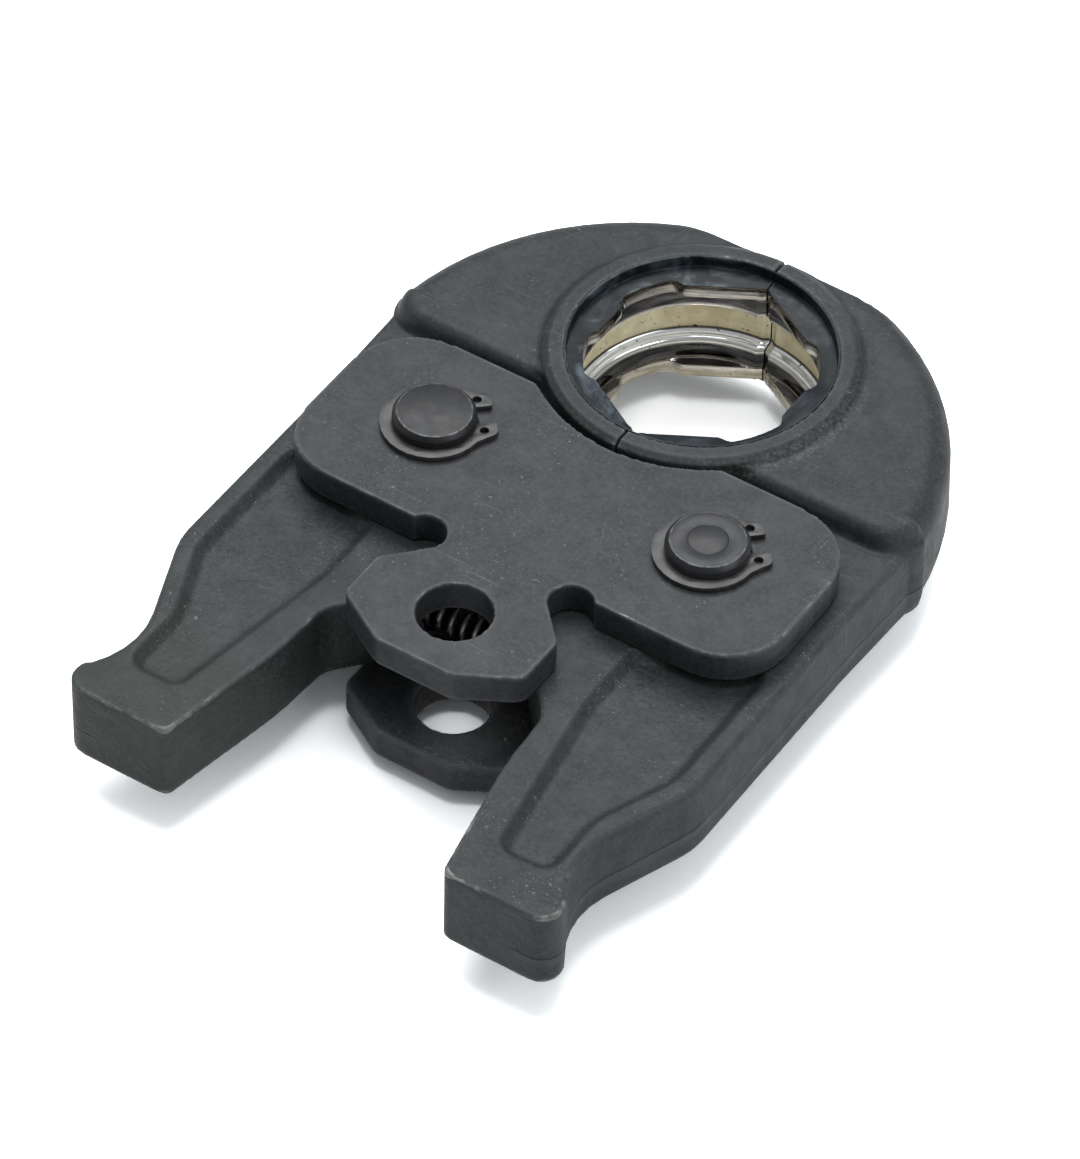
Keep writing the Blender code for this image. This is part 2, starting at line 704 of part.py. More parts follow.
def make_pin(name, side, material, parts):
    """Plain pivot pin with a groove and a chamfer at each end."""
    end = PIN_LENGTH / 2
    groove_low = PLATE_OUTER + CLIP_GAP - GROOVE_PLAY
    groove_high = PLATE_OUTER + CLIP_GAP + CLIP_THICKNESS + GROOVE_PLAY
    floor = PIN_RADIUS - GROOVE_DEPTH
    upper = [
        (0, end),
        (PIN_RADIUS - PIN_CHAMFER, end),
        (PIN_RADIUS, end - PIN_CHAMFER),
        (PIN_RADIUS, groove_high),
        (floor, groove_high),
        (floor, groove_low),
        (PIN_RADIUS, groove_low),
    ]
    pin = turned(name, upper + [(r, -z) for r, z in reversed(upper)], ROUND_SIDES, parts)
    pin.location = BASE_TO_JAW + Vector((side * PIN_X, PIN_FROM_BOLT, 0))
    pin.data.materials.append(material)
    smooth_round_faces(pin)
    return pin


def clip_outline():
    """Open retaining ring with a lug at each end, its opening towards +X."""
    outer_radius = CLIP_INNER_RADIUS + CLIP_BACK_WIDTH - CLIP_ECCENTRICITY
    half = CLIP_OPENING / 2
    lug_top = half + CLIP_LUG_WIDTH
    lug_turn = degrees(atan2(lug_top, CLIP_HOLE_RADIUS)) + ARC_STEP
    open_turn = degrees(asin(half / CLIP_INNER_RADIUS))
    outer = arc((-CLIP_ECCENTRICITY, 0), outer_radius, lug_turn, 360 - lug_turn)
    inner = arc((0, 0), CLIP_INNER_RADIUS, 360 - open_turn, open_turn)
    corner = CLIP_LUG_CORNER
    return rounded([
        (CLIP_LUG_REACH, half, corner / 2, 0),
        (CLIP_LUG_REACH, lug_top - corner, 2 * corner, 0),
        (CLIP_HOLE_RADIUS - corner, lug_top, corner, 0),
        *[(x, y, 0, 0) for x, y in outer],
        (CLIP_HOLE_RADIUS - corner, -lug_top, corner, 0),
        (CLIP_LUG_REACH, -lug_top + corner, 2 * corner, 0),
        (CLIP_LUG_REACH, -half, corner / 2, 0),
        *[(x, y, 0, 0) for x, y in inner],
    ])


def make_clip(name, side, way, material, parts):
    half = (CLIP_OPENING + CLIP_LUG_WIDTH) / 2
    hole_x = sqrt(CLIP_HOLE_RADIUS ** 2 - half ** 2)
    loops = [clip_outline()]
    loops += [circle((hole_x, s * half), CLIP_HOLE_DIAMETER / 2, ROUND_SIDES // 4) for s in (-1, 1)]
    clip = flat_solid(name, loops, CLIP_THICKNESS, parts)
    clip.data.transform(Matrix.Rotation(radians(CLIP_TURN), 4, "Z"))
    height = PLATE_OUTER + CLIP_GAP + CLIP_THICKNESS / 2
    clip.location = BASE_TO_JAW + Vector((side * PIN_X, PIN_FROM_BOLT, way * height))
    clip.data.materials.append(material)
    smooth_round_faces(clip)
    return clip


def make_spring(material, parts):
    """Compression spring across the jaw, seated in a blind hole in each arm."""
    mouth_x = SPLIT_GAP / 2 + (SPLIT_FOOT - SPRING_FROM_BOLT) * tan(radians(RELIEF_ANGLE))
    wire = SPRING_WIRE / 2
    half = mouth_x + SPRING_POCKET_DEPTH - wire - SPRING_CLEARANCE
    turns = 2 * half / SPRING_PITCH
    count = round(turns * SPRING_TURN_POINTS)
    radius = SPRING_DIAMETER / 2 - wire
    curve = bpy.data.curves.new("return_spring", "CURVE")
    curve.dimensions = "3D"
    curve.bevel_depth = wire
    curve.bevel_resolution = 2
    curve.use_fill_caps = True
    spline = curve.splines.new("POLY")
    spline.points.add(count)
    for i, point in enumerate(spline.points):
        turn = 2 * pi * turns * i / count
        x = -half + 2 * half * i / count
        point.co = (x, radius * cos(turn), radius * sin(turn), 1)
    spring = bpy.data.objects.new("return_spring", curve)
    parts.objects.link(spring)
    spring.location = BASE_TO_JAW + Vector((0, SPRING_FROM_BOLT, 0))
    curve.materials.append(material)
    return spring


def build():
    clear_scene()
    parts = make_collection(PARTS_NAME)
    cutters = make_collection(CUTTERS_NAME)
    forged = make_material("blackened_forged_steel", (0.075, 0.078, 0.08), 0.5, 0.75)
    plate_steel = make_material("blackened_plate_steel", (0.085, 0.088, 0.09), 0.48, 0.75)
    pin_steel = make_material("blued_pin_steel", (0.06, 0.06, 0.07), 0.28, 0.9)
    clip_steel = make_material("spring_steel_ring", (0.22, 0.2, 0.18), 0.35, 0.9)
    coil_steel = make_material("oiled_spring_wire", (0.12, 0.11, 0.1), 0.35, 0.9)
    for name, reach, side in (("left_arm", NOSE_REACH_LEFT, -1), ("right_arm", NOSE_REACH_RIGHT, 1)):
        arm = make_arm(name, reach, side, parts, cutters)
        arm.data.materials.append(forged)
    for level, way in (("upper", 1), ("lower", -1)):
        make_plate(level + "_side_plate", way, plate_steel, parts)
        for hand, side in (("left", -1), ("right", 1)):
            make_clip(level + "_" + hand + "_circlip", side, way, clip_steel, parts)
    for hand, side in (("left", -1), ("right", 1)):
        make_pin(hand + "_pivot_pin", side, pin_steel, parts)
    make_spring(coil_steel, parts)


build()
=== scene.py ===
import json
from math import cos, pi, radians, sin

import bmesh
import bpy
import numpy as np
from mathutils import Matrix, Vector


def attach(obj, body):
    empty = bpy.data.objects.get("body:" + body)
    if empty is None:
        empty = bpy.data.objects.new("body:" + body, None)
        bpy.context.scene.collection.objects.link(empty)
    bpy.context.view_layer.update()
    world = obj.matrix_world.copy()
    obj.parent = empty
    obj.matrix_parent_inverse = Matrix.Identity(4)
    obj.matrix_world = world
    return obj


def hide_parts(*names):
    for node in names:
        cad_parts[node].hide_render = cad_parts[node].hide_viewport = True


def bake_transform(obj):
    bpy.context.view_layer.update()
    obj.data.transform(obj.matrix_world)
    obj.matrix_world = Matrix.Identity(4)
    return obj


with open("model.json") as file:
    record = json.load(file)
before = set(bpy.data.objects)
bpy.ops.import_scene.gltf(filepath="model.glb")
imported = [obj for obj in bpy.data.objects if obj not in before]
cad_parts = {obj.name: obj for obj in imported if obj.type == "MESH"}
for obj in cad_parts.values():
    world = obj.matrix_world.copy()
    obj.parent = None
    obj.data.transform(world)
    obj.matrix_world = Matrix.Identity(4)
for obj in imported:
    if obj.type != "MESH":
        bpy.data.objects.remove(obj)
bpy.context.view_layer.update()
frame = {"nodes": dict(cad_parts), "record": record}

# Camera, table and light
# The jaw lies on a white table under a large soft light from behind and the left, seen from
# above the right leg with a long lens. Lengths are in metres. The tool bolt's axis crosses the
# mid-plane of the jaw at jaw_zero, and +Y runs towards the nose of the pressing head.
jaw_zero = Vector((0, -0.03325, 0.0193))
camera_azimuth = radians(32.132)
camera_elevation = radians(45.593)
camera_roll = radians(1.511)
camera_distance = 1.31856
camera_aim = jaw_zero + Vector((0.00028, 0.02850, 0))
focal_pixels = 7080.4
photo_long_side = 1159
sensor_width = 36.0

back = Vector((
    sin(camera_azimuth) * cos(camera_elevation),
    -cos(camera_azimuth) * cos(camera_elevation),
    sin(camera_elevation),
))
level_right = Vector((cos(camera_azimuth), sin(camera_azimuth), 0))
level_up = back.cross(level_right)
camera_right = level_right * cos(camera_roll) + level_up * sin(camera_roll)
camera_up = level_up * cos(camera_roll) - level_right * sin(camera_roll)
camera_place = Matrix((camera_right, camera_up, back)).transposed().to_4x4()
camera_place.translation = camera_aim + back * camera_distance
lens = bpy.data.cameras.new("camera")
lens.sensor_width = sensor_width
lens.lens = focal_pixels * sensor_width / photo_long_side
lens.clip_end = 20
camera = bpy.data.objects.new("camera", lens)
camera.matrix_world = camera_place
bpy.context.scene.collection.objects.link(camera)
bpy.context.scene.camera = camera
bpy.context.scene.view_settings.view_transform = "Standard"


def new_material(name):
    """An empty node tree with its output node."""
    material = bpy.data.materials.new(name)
    material.use_nodes = True
    material.node_tree.nodes.clear()
    output = material.node_tree.nodes.new("ShaderNodeOutputMaterial")
    return material, material.node_tree, output


def add_node(tree, kind, values=None, **settings):
    """One node with its settings, and constant values on its inputs."""
    node = tree.nodes.new(kind)
    for key, value in settings.items():
        setattr(node, key, value)
    for key, value in (values or {}).items():
        node.inputs[key].default_value = value
    return node


table_size = 6.0
table_white = 0.94
table_exposure = 1.95
table_mesh = bpy.data.meshes.new("table")
table_mesh.from_pydata(
    [(x * table_size, y * table_size, 0) for x, y in ((-1, -1), (1, -1), (1, 1), (-1, 1))],
    [], [(0, 1, 2, 3)],
)
table = bpy.data.objects.new("table", table_mesh)
bpy.context.scene.collection.objects.link(table)
material, tree, output = new_material("table_white")
path = tree.nodes.new("ShaderNodeLightPath")
exposed = add_node(
    tree, "ShaderNodeMapRange", {"To Min": table_white, "To Max": table_white * table_exposure},
)
tree.links.new(path.outputs["Is Camera Ray"], exposed.inputs["Value"])
white = add_node(tree, "ShaderNodeBsdfDiffuse", {"Roughness": 0.5})
tree.links.new(exposed.outputs[0], white.inputs["Color"])
tree.links.new(white.outputs[0], output.inputs[0])
table_mesh.materials.append(material)

room_high = 0.62
room_low = 0.24
room_colour = (0.93, 0.965, 1.0, 1)
light_direction = (-0.35, 0.45, 0.82)
world = bpy.data.worlds.new("studio")
bpy.context.scene.world = world
world.use_nodes = True
tree = world.node_tree
tree.nodes.clear()
output = tree.nodes.new("ShaderNodeOutputWorld")
path = tree.nodes.new("ShaderNodeLightPath")
seen = add_node(tree, "ShaderNodeMath", operation="MAXIMUM")
tree.links.new(path.outputs["Is Camera Ray"], seen.inputs[0])
tree.links.new(path.outputs["Is Transmission Ray"], seen.inputs[1])
direction = tree.nodes.new("ShaderNodeTexCoord").outputs["Generated"]
towards_light = add_node(tree, "ShaderNodeVectorMath", {1: light_direction}, operation="DOT_PRODUCT")
tree.links.new(direction, towards_light.inputs[0])
glow = add_node(
    tree, "ShaderNodeMapRange",
    {"From Min": -0.2, "From Max": 1.0, "To Min": room_low, "To Max": room_high},
    interpolation_type="SMOOTHSTEP",
)
tree.links.new(towards_light.outputs["Value"], glow.inputs["Value"])
room = add_node(tree, "ShaderNodeBackground", {"Color": room_colour})
tree.links.new(glow.outputs[0], room.inputs["Strength"])
backdrop = add_node(tree, "ShaderNodeBackground", {"Color": (1, 1, 1, 1), "Strength": 1.0})
mix = tree.nodes.new("ShaderNodeMixShader")
tree.links.new(seen.outputs[0], mix.inputs[0])
tree.links.new(room.outputs[0], mix.inputs[1])
tree.links.new(backdrop.outputs[0], mix.inputs[2])
tree.links.new(mix.outputs[0], output.inputs[0])


def soft_light(name, place, size, power, colour):
    """A rectangular lamp that points at the middle of the table."""
    lamp = bpy.data.lights.new(name, "AREA")
    lamp.shape = "RECTANGLE"
    lamp.size, lamp.size_y = size
    lamp.energy = power
    lamp.color = colour
    item = bpy.data.objects.new(name, lamp)
    item.location = place
    item.rotation_euler = (-Vector(place)).to_track_quat("-Z", "Y").to_euler()
    bpy.context.scene.collection.objects.link(item)


soft_light("overhead_softbox", (-0.50, 0.68, 1.50), (1.4, 1.1), 24.5, (0.965, 0.985, 1.0))
soft_light("top_card", (0.05, -0.12, 1.60), (0.45, 0.45), 6.5, (0.97, 0.985, 1.0))
soft_light("right_card", (1.05, 0.05, 0.62), (0.9, 0.7), 5.0, (0.95, 0.985, 1.0))


# Arms
# Two forgings that mirror each other, descaled and blackened. Their surface keeps the grain of
# the forging die, and the finish is rubbed through along the edges of the feet and the head.
# Every edge also carries a painted highlight.
bodies = frame["record"]["behaviour"]["bodies"]
body_of_node = {node: body for body, nodes in bodies.items() for node in nodes}
hands = (("left", -1), ("right", 1))
forging_dark = (0.0150, 0.0170, 0.0175)
forging_light = (0.0225, 0.0250, 0.0255)
forging_rubbed = (0.36, 0.355, 0.34)
speck_colour = (0.22, 0.22, 0.215)
scratch_colour = (0.14, 0.14, 0.138)
scuff_colour = (0.115, 0.122, 0.128)
flash_colour = (0.052, 0.056, 0.056)
seam_colour = (0.006, 0.0065, 0.007)
sand_colour = (0.085, 0.088, 0.084)
rubbed_foot_colour = (0.42, 0.41, 0.39)
olive_cast = (0.0285, 0.0295, 0.0225)
coarse_grain_depth = 0.000030
fine_grain_depth = 0.000034
orange_peel_depth = 0.00019
pit_depth = 0.00007
seam_depth = 0.00012
forging_voxel = 0.00042
forging_smoothing = 2
forging_kept = 0.62
bore_centre = jaw_zero + Vector((0, 0.0845, 0))
lining_radius = 0.0262
cutter_depth = 0.1
cutter_sides = 144
foot_top = jaw_zero.y - 0.026
grained_height = 0.0072
plain_height = 0.0084
leg_wall_x = 0.044
head_wall_radius = 0.042
parting_level = -0.0021
flash_level = -0.0033
ring_root_radius = 0.0312


def plain_mesh(item):
    """The item's mesh with its modifiers applied."""
    bpy.context.view_layer.update()
    graph = bpy.context.evaluated_depsgraph_get()
    return bpy.data.meshes.new_from_object(item.evaluated_get(graph))


def new_piece(name, mesh):
    """An object in the scene that shows the mesh."""
    item = bpy.data.objects.new(name, mesh)
    bpy.context.scene.collection.objects.link(item)
    return item


def merged_copy(name, node):
    """A copy of a solid's loose triangles, joined up."""
    work = bmesh.new()
    work.from_mesh(frame["nodes"][node].data)
    bmesh.ops.remove_doubles(work, verts=work.verts, dist=1e-7)
    mesh = bpy.data.meshes.new(name)
    work.to_mesh(mesh)
    work.free()
    return new_piece(name, mesh)


def bare_cylinder(radius, depth, sides, centre):
    """An upright cylinder to cut with."""
    work = bmesh.new()
    bmesh.ops.create_cone(
        work, cap_ends=True, segments=sides, radius1=radius, radius2=radius, depth=depth,
        matrix=Matrix.Translation(centre),
    )
    mesh = bpy.data.meshes.new("cutter")
    work.to_mesh(mesh)
    work.free()
    return new_piece("cutter", mesh)


def edge_wear_and_sheen(mesh, full_bend=900.0):
    """Stores how sharply the surface bends at each point.

    It is 1 for an outward bend of full_bend radians a metre, 0 for a flat, and less in a hollow.
    """
    count = len(mesh.vertices)
    places = np.empty(count * 3)
    normals = np.empty(count * 3)
    mesh.vertices.foreach_get("co", places)
    mesh.vertices.foreach_get("normal", normals)
    places, normals = places.reshape(-1, 3), normals.reshape(-1, 3)
    pairs = np.empty(len(mesh.edges) * 2, dtype=np.int64)
    mesh.edges.foreach_get("vertices", pairs)
    first, second = pairs.reshape(-1, 2).T
    along = places[second] - places[first]
    bend = ((normals[second] - normals[first]) * along).sum(1) / np.maximum((along ** 2).sum(1), 1e-12)
    total = np.zeros(count)
    links = np.zeros(count)
    for ends in (first, second):
        np.add.at(total, ends, bend)
        np.add.at(links, ends, 1)
    bend = total / np.maximum(links, 1)
    for _ in range(3):
        spread = np.zeros(count)
        np.add.at(spread, first, bend[second])
        np.add.at(spread, second, bend[first])
        bend = 0.5 * bend + 0.5 * spread / np.maximum(links, 1)
    wear = np.clip(bend / full_bend, -1, 1)
    attribute = mesh.attributes.new("edge_wear_and_sheen", "FLOAT", "POINT")
    attribute.data.foreach_set("value", wear.astype(np.float32))


def softened(name, item, voxel, smoothing, kept=1.0):
    """The item as one even skin with its edges rounded off, and only a share of its faces kept."""
    remesh = item.modifiers.new("Skin", "REMESH")
    remesh.mode = "VOXEL"
    remesh.voxel_size = voxel
    smooth = item.modifiers.new("Rounding", "SMOOTH")
    smooth.factor = 0.5
    smooth.iterations = smoothing
    if kept < 1:
        thin = item.modifiers.new("Thinning", "DECIMATE")
        thin.ratio = kept
    mesh = plain_mesh(item)
    item.modifiers.clear()
    item.data = mesh
    mesh.shade_smooth()
    item.name = name
    edge_wear_and_sheen(mesh)
    return item


def ramp(tree, source, low, high, start=0.0, end=1.0):
    """Values of a field stretched from the range low..high to start..end, and kept in it."""
    node = add_node(
        tree, "ShaderNodeMapRange",
        {"From Min": low, "From Max": high, "To Min": start, "To Max": end},
    )
    tree.links.new(source, node.inputs["Value"])
    return node.outputs[0]


def noise(tree, vector, scale, detail=2.0, roughness=0.5, distortion=0.0):
    """A cloudy field between 0 and 1, with about scale cells to a unit of the vector."""
    node = add_node(
        tree, "ShaderNodeTexNoise",
        {"Scale": scale, "Detail": detail, "Roughness": roughness, "Distortion": distortion},
    )
    tree.links.new(vector, node.inputs["Vector"])
    return node.outputs["Fac"]


def stretched(tree, vector, scale, turn):
    """The field turned and drawn out, for marks that run one way."""
    node = add_node(tree, "ShaderNodeMapping", {"Rotation": (0, 0, turn), "Scale": scale})
    tree.links.new(vector, node.inputs["Vector"])
    return node.outputs[0]


def arithmetic(tree, operation, first, second=0.0):
    """One operation on fields or numbers."""
    node = add_node(tree, "ShaderNodeMath", operation=operation)
    for socket, value in zip(node.inputs, (first, second)):
        if isinstance(value, (int, float)):
            socket.default_value = value
        else:
            tree.links.new(value, socket)
    return node.outputs[0]


def blend_colour(tree, factor, first, second):
    """The first colour where the factor is 0, the second where it is 1."""
    node = add_node(tree, "ShaderNodeMix", data_type="RGBA", clamp_factor=True)
    tree.links.new(factor, node.inputs[0])
    for socket, value in ((node.inputs[6], first), (node.inputs[7], second)):
        if isinstance(value, tuple):
            socket.default_value = (*value, 1)
        else:
            tree.links.new(value, socket)
    return node.outputs[2]


def along_axis(tree, place, axis):
    """One coordinate of a place or direction."""
    split = tree.nodes.new("ShaderNodeSeparateXYZ")
    tree.links.new(place, split.inputs[0])
    return split.outputs[axis]


def band(tree, value, middle, half_width, fade):
    """1 where a value is within a half width of the middle, fading to 0 outside it."""
    off = arithmetic(tree, "ABSOLUTE", arithmetic(tree, "SUBTRACT", value, middle))
    return ramp(tree, off, half_width, half_width + fade, 1.0, 0.0)


def multiplied(tree, *fields):
    """The product of fields and numbers."""
    result = fields[0]
    for field in fields[1:]:
        result = arithmetic(tree, "MULTIPLY", result, field)
    return result


def round_the_bore(tree, place):
    """Distance from the axis of the press opening, and the turn about it in radians."""
    x = along_axis(tree, place, "X")
    y = arithmetic(tree, "SUBTRACT", along_axis(tree, place, "Y"), bore_centre.y)
    flat = tree.nodes.new("ShaderNodeCombineXYZ")
    tree.links.new(x, flat.inputs[0])
    tree.links.new(y, flat.inputs[1])
    radius = add_node(tree, "ShaderNodeVectorMath", operation="LENGTH")
    tree.links.new(flat.outputs[0], radius.inputs[0])
    return radius.outputs["Value"], arithmetic(tree, "ARCTAN2", y, x)


def add_bump(tree, shader, height, distance):
    """Gives the shader a fine relief from a height field."""
    bump = add_node(tree, "ShaderNodeBump", {"Strength": 1.0, "Distance": distance})
    tree.links.new(height, bump.inputs["Height"])
    tree.links.new(bump.outputs[0], shader.inputs["Normal"])


def blackened_finish(name, dark, light, rubbed, roughness, scratches, wear_start, extra=None):
    """Blackened steel: satin grey, specks and scratches, bright where rubbed, with a painted edge
    sheen.

    The extra step adds what only one kind of piece has: it takes the tree, the place, the
    colour and the height field, and gives back the colour and the height field.
    """
    material, tree, output = new_material(name)
    shader = add_node(
        tree, "ShaderNodeBsdfPrincipled", {"Metallic": 0.0, "IOR": 1.5, "Specular IOR Level": 0.21},
    )
    place = tree.nodes.new("ShaderNodeTexCoord").outputs["Object"]
    mottle = ramp(tree, noise(tree, place, 38.0, 5.0, 0.62), 0.28, 0.72)
    colour = blend_colour(tree, mottle, dark, light)
    tint = ramp(tree, noise(tree, place, 21.0, 2.0), 0.35, 0.65, 0.0, 0.35)
    colour = blend_colour(tree, tint, colour, (light[0] * 0.92, light[1] * 1.02, light[2] * 0.93))
    fine = ramp(tree, noise(tree, place, 1100.0, 5.0, 0.75), 0.40, 0.66, 0.0, 0.7)
    colour = blend_colour(tree, fine, colour, tuple(c * 1.9 for c in light))
    grit = ramp(tree, noise(tree, place, 760.0, 4.0, 0.7), 0.26, 0.40, 0.55, 0.0)
    colour = blend_colour(tree, grit, colour, tuple(c * 0.5 for c in dark))
    patch = ramp(tree, noise(tree, place, 60.0, 3.0), 0.42, 0.68)
    facing = tree.nodes.new("ShaderNodeTexCoord").outputs["Normal"]
    upward = ramp(tree, along_axis(tree, facing, "Z"), 0.3, 0.8, 0.25, 1.0)
    for scale, level, strength in ((1300.0, 0.665, 0.8), (2600.0, 0.66, 0.7), (640.0, 0.70, 0.7)):
        speck = ramp(tree, noise(tree, place, scale, 2.0, 0.6), level, level + 0.06, 0.0, strength)
        colour = blend_colour(tree, multiplied(tree, speck, patch, upward), colour, speck_colour)
    cloudy = ramp(tree, noise(tree, place, 95.0, 6.0, 0.7, 0.6), 0.47, 0.70, 0.0, 0.6)
    colour = blend_colour(tree, cloudy, colour, tuple(c * 2.0 for c in light))
    stained = ramp(tree, noise(tree, place, 52.0, 5.0, 0.65, 1.2), 0.55, 0.74, 0.0, 0.6)
    colour = blend_colour(tree, stained, colour, tuple(c * 0.62 for c in dark))
    for turn, level in ((0.4, 0.69), (1.2, 0.70), (2.0, 0.69), (2.7, 0.70)):
        line = noise(tree, stretched(tree, place, (38.0, 1500.0, 38.0), turn), 1.0, 2.0, 0.5)
        scratch = ramp(tree, line, level, level + 0.05, 0.0, scratches)
        colour = blend_colour(tree, multiplied(tree, scratch, patch), colour, scratch_colour)
    for turn, size, level in ((0.9, 46.0, 0.66), (2.3, 58.0, 0.66)):
        scuffed = ramp(tree, noise(tree, place, size, 3.0, 0.6), level, level + 0.05)
        strokes = noise(tree, stretched(tree, place, (90.0, 2600.0, 90.0), turn), 1.0, 3.0, 0.6)
        strokes = ramp(tree, strokes, 0.52, 0.70, 0.0, 0.5)
        strokes = multiplied(tree, strokes, scuffed, upward)
        colour = blend_colour(tree, strokes, colour, scuff_colour)
    coarse = multiplied(tree, noise(tree, place, 420.0, 3.0, 0.6), coarse_grain_depth)
    small = multiplied(tree, noise(tree, place, 1700.0, 3.0, 0.65), fine_grain_depth)
    height = arithmetic(tree, "ADD", coarse, small)
    if extra:
        colour, height = extra(tree, place, colour, height)
    worn = tree.nodes.new("ShaderNodeAttribute")
    worn.attribute_name = "edge_wear_and_sheen"
    break_up = ramp(tree, noise(tree, place, 190.0, 6.0, 0.72), 0.3, 0.75, -0.55, 0.3)
    wear = arithmetic(tree, "ADD", worn.outputs["Fac"], break_up)
    wear = ramp(tree, wear, wear_start, wear_start + 0.35, 0.0, 0.85)
    colour = blend_colour(tree, wear, colour, rubbed)
    # Painted highlight: every edge is lightened by how sharply it bends, worn or not.
    sheen = ramp(tree, worn.outputs["Fac"], 0.12, 0.75, 0.0, 0.6)
    colour = blend_colour(tree, sheen, colour, tuple(c * 3.2 for c in light))
    tree.links.new(colour, shader.inputs["Base Color"])
    tree.links.new(multiplied(tree, wear, 0.75), shader.inputs["Metallic"])
    rough = ramp(tree, noise(tree, place, 240.0, 4.0), 0.3, 0.7, roughness - 0.05, roughness + 0.07)
    rough = arithmetic(tree, "SUBTRACT", rough, multiplied(tree, wear, 0.12))
    tree.links.new(rough, shader.inputs["Roughness"])
    add_bump(tree, shader, height, 1.0)
    tree.links.new(shader.outputs[0], output.inputs[0])
    return material


def forging_marks(tree, place, colour, height):
    """Skin of the forging: grained pockets and walls, the parting line and the sandy ring root.

    The feet are rubbed bright along their edges, and the left leg has an olive cast.
    """
    x = along_axis(tree, place, "X")
    y = along_axis(tree, place, "Y")
    level = arithmetic(tree, "SUBTRACT", along_axis(tree, place, "Z"), jaw_zero.z)
    off_middle = arithmetic(tree, "ABSOLUTE", level)
    below_top = ramp(tree, off_middle, grained_height, plain_height, 1.0, 0.12)
    orange_peel = noise(tree, place, 520.0, 3.0, 0.55, 0.6)
    pits = ramp(tree, noise(tree, place, 640.0, 2.0, 0.5), 0.24, 0.38, -1.0, 0.0)
    orange_peel = multiplied(tree, orange_peel, orange_peel_depth)
    skin = arithmetic(tree, "ADD", orange_peel, multiplied(tree, pits, pit_depth))
    height = arithmetic(tree, "ADD", height, multiplied(tree, skin, below_top))
    radius, _ = round_the_bore(tree, place)
    leg_wall = ramp(tree, arithmetic(tree, "ABSOLUTE", x), leg_wall_x, leg_wall_x + 0.002)
    front = ramp(tree, y, bore_centre.y - 0.002, bore_centre.y + 0.002)
    head_wall = ramp(tree, radius, head_wall_radius, head_wall_radius + 0.003)
    outer = arithmetic(tree, "MAXIMUM", leg_wall, multiplied(tree, head_wall, front))
    wobble = ramp(tree, noise(tree, place, 120.0, 2.0), 0.3, 0.7, -0.00025, 0.00025)
    seam_level = arithmetic(tree, "ADD", level, wobble)
    seam = multiplied(tree, band(tree, seam_level, parting_level, 0.00012, 0.00025), outer)
    flash = multiplied(tree, band(tree, seam_level, flash_level, 0.0007, 0.0006), outer)
    colour = blend_colour(tree, multiplied(tree, flash, 0.45), colour, flash_colour)
    colour = blend_colour(tree, multiplied(tree, seam, 0.75), colour, seam_colour)
    height = arithmetic(tree, "SUBTRACT", height, multiplied(tree, seam, seam_depth))
    root = band(tree, radius, ring_root_radius, 0.0012, 0.0012)
    rear = ramp(tree, y, bore_centre.y, bore_centre.y + 0.016, 1.0, 0.0)
    near_right = multiplied(tree, ramp(tree, x, 0.004, 0.016), rear)
    grit = ramp(tree, noise(tree, place, 1250.0, 3.0, 0.75), 0.46, 0.62, 0.0, 0.75)
    colour = blend_colour(tree, multiplied(tree, root, near_right, grit), colour, sand_colour)
    edge = tree.nodes.new("ShaderNodeAttribute")
    edge.attribute_name = "edge_wear_and_sheen"
    foot = ramp(tree, y, foot_top - 0.008, foot_top - 0.012)
    rub = ramp(tree, noise(tree, place, 85.0, 5.0, 0.7), 0.45, 0.56)
    rub = multiplied(tree, ramp(tree, edge.outputs["Fac"], 0.34, 0.52), foot, rub, 0.8)
    colour = blend_colour(tree, rub, colour, rubbed_foot_colour)
    left_leg = ramp(tree, x, -0.012, -0.03)
    low_down = ramp(tree, y, foot_top + 0.02, foot_top - 0.01, 0.0, 0.4)
    olive = multiplied(tree, left_leg, low_down)
    colour = blend_colour(tree, olive, colour, olive_cast)
    return colour, height


forged_black = blackened_finish(
    "blackened_forging", forging_dark, forging_light, forging_rubbed,
    roughness=0.47, scratches=0.35, wear_start=0.62, extra=forging_marks,
)
for hand, side in hands:
    arm = merged_copy(hand + "_arm_forging", hand + "_arm")
    cutter = bare_cylinder(lining_radius, cutter_depth, cutter_sides, bore_centre)
    cut = arm.modifiers.new("Bore", "BOOLEAN")
    cut.operation = "DIFFERENCE"
    cut.solver = "EXACT"
    cut.object = cutter
    softened(hand + "_arm_forging", arm, forging_voxel, forging_smoothing, forging_kept)
    bpy.data.objects.remove(cutter)
    arm.data.materials.clear()
    arm.data.materials.append(forged_black)
    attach(arm, body_of_node[hand + "_arm"])


# Press contour
# The hardened working surface of the head, milled in both arms. From each blued rim inwards it
# is plated bright: a land with six flats, a round wall and a narrow ridge, and in the middle
# one groove for the fitting's bead.
contour_profile = (
    # radius, whether it is measured from the flats, height above the mid-plane
    (0.02620, False, 0.01478),
    (0.02592, False, 0.01478),
    (0.02580, False, 0.01462),
    (0.02580, False, 0.01248),
    (0.02566, False, 0.01236),
    (0.00030, True, 0.01206),
    (0.00008, True, 0.01198),
    (0.0, True, 0.01180),
    (0.0, True, 0.00925),
    (0.00010, True, 0.00905),
    (0.02266, False, 0.00892),
    (0.02284, False, 0.00876),
    (0.02296, False, 0.00840),
    (0.02300, False, 0.00760),
    (0.02300, False, 0.00530),
    (0.02303, False, 0.00492),
    (0.02314, False, 0.00458),
    (0.02338, False, 0.00428),
    (0.02372, False, 0.00408),
    (0.02420, False, 0.00392),
    (0.02472, False, 0.00374),
    (0.02514, False, 0.00346),
    (0.02540, False, 0.00308),
    (0.02548, False, 0.00262),
)
rim_rows = 6
land_flat_radius = 0.0205
land_corner_radius = 0.0225
land_flat_half_turn = 14
corner_start = 10.5
corner_blend = 7.0
split_corner_step = 0.0002
split_half_gap = 0.00015
split_edge_width = 0.0014
split_edge_depth = 0.0010
